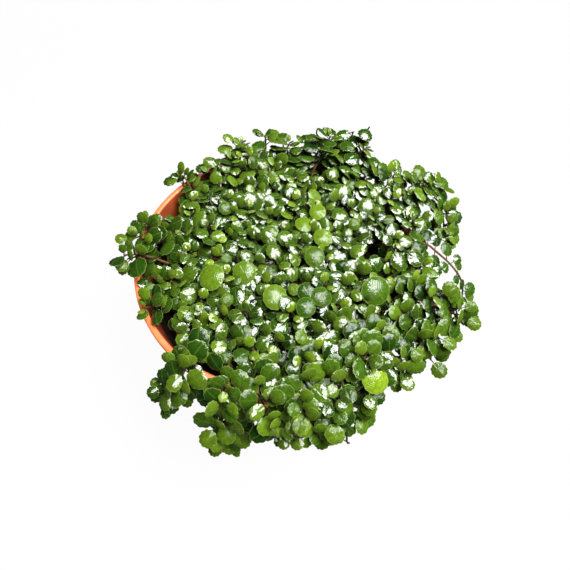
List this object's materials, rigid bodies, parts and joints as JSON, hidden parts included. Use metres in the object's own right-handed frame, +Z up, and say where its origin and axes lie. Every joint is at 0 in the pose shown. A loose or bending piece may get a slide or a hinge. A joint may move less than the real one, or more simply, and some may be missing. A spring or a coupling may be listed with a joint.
{
  "type": "potted pilea",
  "caption": "Creeping pilea grown as a dense mat of small round glossy leaves in a round terracotta-coloured plastic nursery pot, its shoots spilling over the lip.",
  "frame": {"origin": "middle of the pot's flat base", "axes": "+Z up through the pot's axis, -Y the side that trails most and faces the picture's camera, +X to that camera's right"},
  "size_m": [0.1549, 0.1402, 0.1038],
  "materials": {
    "pot_plastic": "satin",
    "potting_soil": "matte",
    "foliage": "gloss"
  },
  "bodies": {
    "root": {"mat_shoot_01": "foliage", "mat_shoot_02": "foliage", "mat_shoot_03": "foliage", "mat_shoot_04": "foliage", "mat_shoot_05": "foliage", "mat_shoot_06": "foliage", "mat_shoot_07": "foliage", "mat_shoot_08": "foliage", "mat_shoot_09": "foliage", "mat_shoot_10": "foliage", "mat_shoot_11": "foliage", "mat_shoot_12": "foliage", "mat_shoot_13": "foliage", "mat_shoot_14": "foliage", "mat_shoot_15": "foliage", "mat_shoot_16": "foliage", "mat_shoot_17": "foliage", "mat_shoot_18": "foliage", "mat_shoot_19": "foliage", "mat_shoot_20": "foliage", "mat_shoot_21": "foliage", "mat_shoot_22": "foliage", "mat_shoot_23": "foliage", "mat_shoot_24": "foliage", "mat_shoot_25": "foliage", "mat_shoot_26": "foliage", "mat_shoot_27": "foliage", "mat_shoot_28": "foliage", "mat_shoot_29": "foliage", "mat_shoot_30": "foliage", "mat_shoot_31": "foliage", "mat_shoot_32": "foliage", "mat_shoot_33": "foliage", "mat_shoot_34": "foliage", "pot": "pot_plastic", "potting_soil": "potting_soil", "shoot_back": "foliage", "shoot_back_right": "foliage", "shoot_back_sprig": "foliage", "shoot_back_tall": "foliage", "shoot_big_leaf": "foliage", "shoot_front": "foliage", "shoot_front_dark": "foliage", "shoot_front_left": "foliage", "shoot_front_right": "foliage", "shoot_front_trailing": "foliage", "shoot_left_rim": "foliage", "shoot_left_tip": "foliage", "shoot_left_trailing": "foliage", "shoot_left_upper": "foliage", "shoot_right_arch": "foliage", "shoot_right_back": "foliage", "shoot_right_hanging": "foliage", "shoot_right_low": "foliage", "shoot_right_pair": "foliage", "shoot_upper_left": "foliage"}
  },
  "joints": []
}
